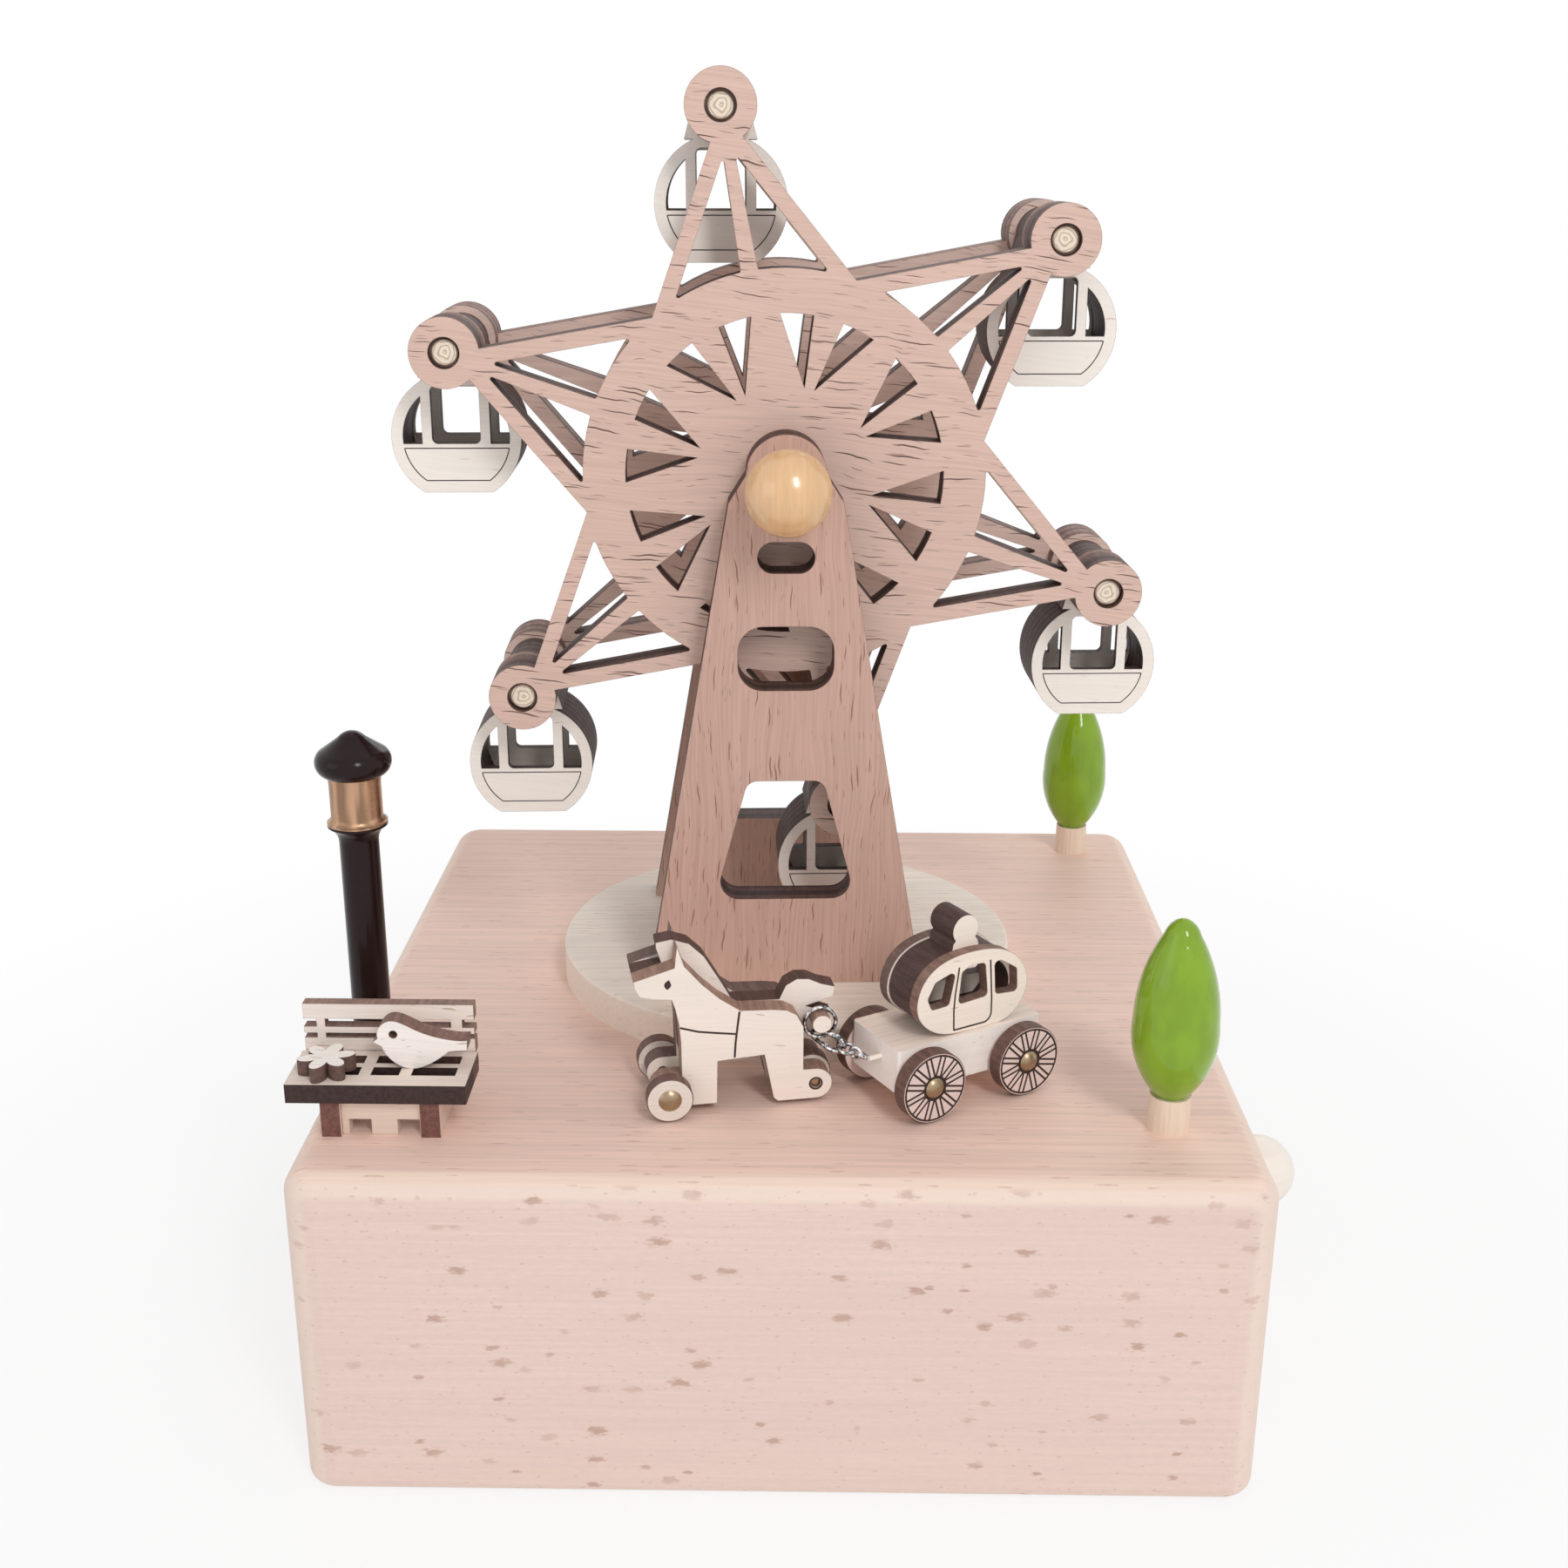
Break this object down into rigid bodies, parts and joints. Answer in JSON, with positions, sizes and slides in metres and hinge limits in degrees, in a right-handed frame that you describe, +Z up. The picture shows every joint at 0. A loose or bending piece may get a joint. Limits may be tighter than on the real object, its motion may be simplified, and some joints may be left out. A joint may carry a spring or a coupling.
{
  "type": "crank ferris wheel toy",
  "caption": "Wooden hand-cranked toy: a block holds the works and carries a ferris wheel on a tower, a lamp, a bench, trees and a magnet-led horse and carriage.",
  "frame": {"origin": "centre of the base block's flat underside", "axes": "+X to the right towards the crank, +Y away from the front, +Z up"},
  "size_m": [0.124, 0.113, 0.156],
  "materials": {
    "base_beech": "lightly oiled solid beech, fine grain on top, small flecks on the faces",
    "plinth_beech": "pale sanded beech disc",
    "tower_ply": "sanded beech veneer ply with darkened cut edges",
    "gondola_ply": "pale ply, laser cut, darkened edges",
    "horse_ply": "pale layered ply with brown cut edges",
    "carriage_ply": "pale layered ply with brown cut edges",
    "dowel_wood": "bare turned dowel",
    "knob_wood": "satin varnished turned ball",
    "crank_wood": "pale turned ball",
    "trunk_wood": "pale turned wood",
    "green_lacquer": "glossy lime green lacquer on turned wood",
    "black_lacquer": "glossy black lacquer on turned wood",
    "lantern_brass": "polished brass",
    "pin_brass": "polished brass pins and bush",
    "comb_steel": "brushed steel",
    "screw_steel": "zinc plated steel",
    "ring_steel": "bright wire",
    "cast_zinc": "cast bedplate",
    "gear_plastic": "pale moulded gears and hub",
    "tyre_rubber": "friction tyre",
    "magnet_nickel": "nickel plated magnet"
  },
  "bodies": {
    "root": {"base_block": "base_beech", "bottom_plate": "plinth_beech", "bottom_screws": "screw_steel", "tower_plinth": "plinth_beech", "tower_front_leg": "tower_ply", "tower_rear_leg": "tower_ply", "crank_bush": "pin_brass", "movement_bedplate": "cast_zinc", "movement_comb": "comb_steel", "movement_screws": "screw_steel", "carrier_pivot": "screw_steel", "lamp_post": "black_lacquer", "lamp_lantern": "lantern_brass", "lamp_cap": "black_lacquer", "front_tree_trunk": "trunk_wood", "front_tree_canopy": "green_lacquer", "rear_tree_trunk": "trunk_wood", "rear_tree_canopy": "green_lacquer", "bench_backrest": "gondola_ply", "bench_seat": "gondola_ply", "bench_legs": "gondola_ply", "bench_bird": "gondola_ply", "bench_flower": "gondola_ply"},
    "wheel": {"wheel_front_plate": "tower_ply", "wheel_rear_plate": "tower_ply", "wheel_hub": "dowel_wood", "wheel_axle": "dowel_wood", "axle_ball_knob": "knob_wood", "axle_end_cap": "knob_wood", "gondola_pins": "dowel_wood", "pin_spacers": "gondola_ply"},
    "crank": {"crank_shaft": "screw_steel", "crank_arm": "screw_steel", "crank_knob_pin": "screw_steel", "friction_wheel": "gear_plastic", "friction_tyre": "tyre_rubber", "drive_pinion": "gear_plastic"},
    "knob": {"crank_knob": "crank_wood"},
    "cylinder": {"music_cylinder": "pin_brass", "cylinder_gear": "gear_plastic"},
    "carrier": {"magnet_carrier": "plinth_beech", "carrier_magnet": "magnet_nickel"},
    "horse": {"horse_sides": "horse_ply", "horse_middle_layer": "horse_ply", "tow_magnet": "magnet_nickel", "tow_ring": "ring_steel"},
    "horse_front_wheel_set": {"horse_front_wheels": "carriage_ply"},
    "horse_roller": {"horse_rear_roller": "dowel_wood"},
    "carriage": {"carriage_chassis": "carriage_ply", "carriage_cabin": "carriage_ply", "carriage_roof_ornament": "carriage_ply", "tow_clasp": "ring_steel"},
    "carriage_front_wheel_set": {"carriage_front_wheels": "carriage_ply"},
    "carriage_rear_wheel_set": {"carriage_rear_wheels": "carriage_ply"},
    "gondola_1_body": {"gondola_1": "gondola_ply"},
    "gondola_2_body": {"gondola_2": "gondola_ply"},
    "gondola_3_body": {"gondola_3": "gondola_ply"},
    "gondola_4_body": {"gondola_4": "gondola_ply"},
    "gondola_5_body": {"gondola_5": "gondola_ply"},
    "gondola_6_body": {"gondola_6": "gondola_ply"}
  },
  "joints": [
    {"name": "wheel_spin", "type": "hinge", "parent": "root", "child": "wheel", "pos_m": [-0.0008, 0.00196, 0.11], "axis": [-0.0488, 0.9988, 0], "continuous": true},
    {"name": "gondola_1_swing", "type": "hinge", "parent": "wheel", "child": "gondola_1_body", "pos_m": [-0.00817, 0.0016, 0.15185], "axis": [-0.0488, 0.9988, 0], "continuous": true},
    {"name": "gondola_2_swing", "type": "hinge", "parent": "wheel", "child": "gondola_2_body", "pos_m": [0.03172, 0.00355, 0.13732], "axis": [-0.0488, 0.9988, 0], "continuous": true},
    {"name": "gondola_3_swing", "type": "hinge", "parent": "wheel", "child": "gondola_3_body", "pos_m": [0.03909, 0.00391, 0.09546], "axis": [-0.0488, 0.9988, 0], "continuous": true},
    {"name": "gondola_4_swing", "type": "hinge", "parent": "wheel", "child": "gondola_4_body", "pos_m": [0.00657, 0.00232, 0.06815], "axis": [-0.0488, 0.9988, 0], "continuous": true},
    {"name": "gondola_5_swing", "type": "hinge", "parent": "wheel", "child": "gondola_5_body", "pos_m": [-0.03332, 0.00037, 0.08268], "axis": [-0.0488, 0.9988, 0], "continuous": true},
    {"name": "gondola_6_swing", "type": "hinge", "parent": "wheel", "child": "gondola_6_body", "pos_m": [-0.04069, 0.00001, 0.12454], "axis": [-0.0488, 0.9988, 0], "continuous": true},
    {"name": "crank_turn", "type": "hinge", "parent": "root", "child": "crank", "pos_m": [0, 0.002, 0.0205], "axis": [1, 0, 0], "continuous": true},
    {"name": "crank_knob_spin", "type": "hinge", "parent": "crank", "child": "knob", "pos_m": [0.0635, -0.01272, 0.01764], "axis": [1, 0, 0], "continuous": true},
    {"name": "cylinder_turn", "type": "hinge", "parent": "root", "child": "cylinder", "pos_m": [0, 0.01735, 0.016], "axis": [1, 0, 0], "continuous": true},
    {"name": "carrier_turn", "type": "hinge", "parent": "root", "child": "carrier", "pos_m": [0, 0.002, 0.034], "axis": [0, 0, 1], "continuous": true},
    {"name": "horse_orbit", "type": "hinge", "parent": "root", "child": "horse", "pos_m": [0, 0.002, 0.041], "axis": [0, 0, 1], "continuous": true},
    {"name": "horse_front_wheels_roll", "type": "hinge", "parent": "horse", "child": "horse_front_wheel_set", "pos_m": [-0.01387, -0.03726, 0.04385], "axis": [-0.1908, 0.9816, 0], "continuous": true},
    {"name": "horse_roller_roll", "type": "hinge", "parent": "horse", "child": "horse_roller", "pos_m": [0.00321, -0.03394, 0.0435], "axis": [-0.1908, 0.9816, 0], "continuous": true},
    {"name": "carriage_yaw", "type": "hinge", "parent": "horse", "child": "carriage", "pos_m": [0.00441, -0.03641, 0.0507], "axis": [0, 0, 1], "range_deg": [-8, 6]},
    {"name": "carriage_front_wheels_roll", "type": "hinge", "parent": "carriage", "child": "carriage_front_wheel_set", "pos_m": [0.01384, -0.03634, 0.0455], "axis": [-0.515, 0.8572, 0], "continuous": true},
    {"name": "carriage_rear_wheels_roll", "type": "hinge", "parent": "carriage", "child": "carriage_rear_wheel_set", "pos_m": [0.02533, -0.02944, 0.0455], "axis": [-0.515, 0.8572, 0], "continuous": true}
  ],
  "couplings": [
    {"joint": "gondola_1_swing", "follows": "wheel_spin", "ratio": -1},
    {"joint": "gondola_2_swing", "follows": "wheel_spin", "ratio": -1},
    {"joint": "gondola_3_swing", "follows": "wheel_spin", "ratio": -1},
    {"joint": "gondola_4_swing", "follows": "wheel_spin", "ratio": -1},
    {"joint": "gondola_5_swing", "follows": "wheel_spin", "ratio": -1},
    {"joint": "gondola_6_swing", "follows": "wheel_spin", "ratio": -1},
    {"joint": "cylinder_turn", "follows": "crank_turn", "ratio": -0.66667},
    {"joint": "carrier_turn", "follows": "crank_turn", "ratio": 0.425},
    {"joint": "horse_orbit", "follows": "crank_turn", "ratio": 0.425},
    {"joint": "horse_front_wheels_roll", "follows": "crank_turn", "ratio": 6.5542},
    {"joint": "horse_roller_roll", "follows": "crank_turn", "ratio": 6.5258},
    {"joint": "carriage_front_wheels_roll", "follows": "crank_turn", "ratio": 3.9827},
    {"joint": "carriage_rear_wheels_roll", "follows": "crank_turn", "ratio": 3.9445}
  ]
}
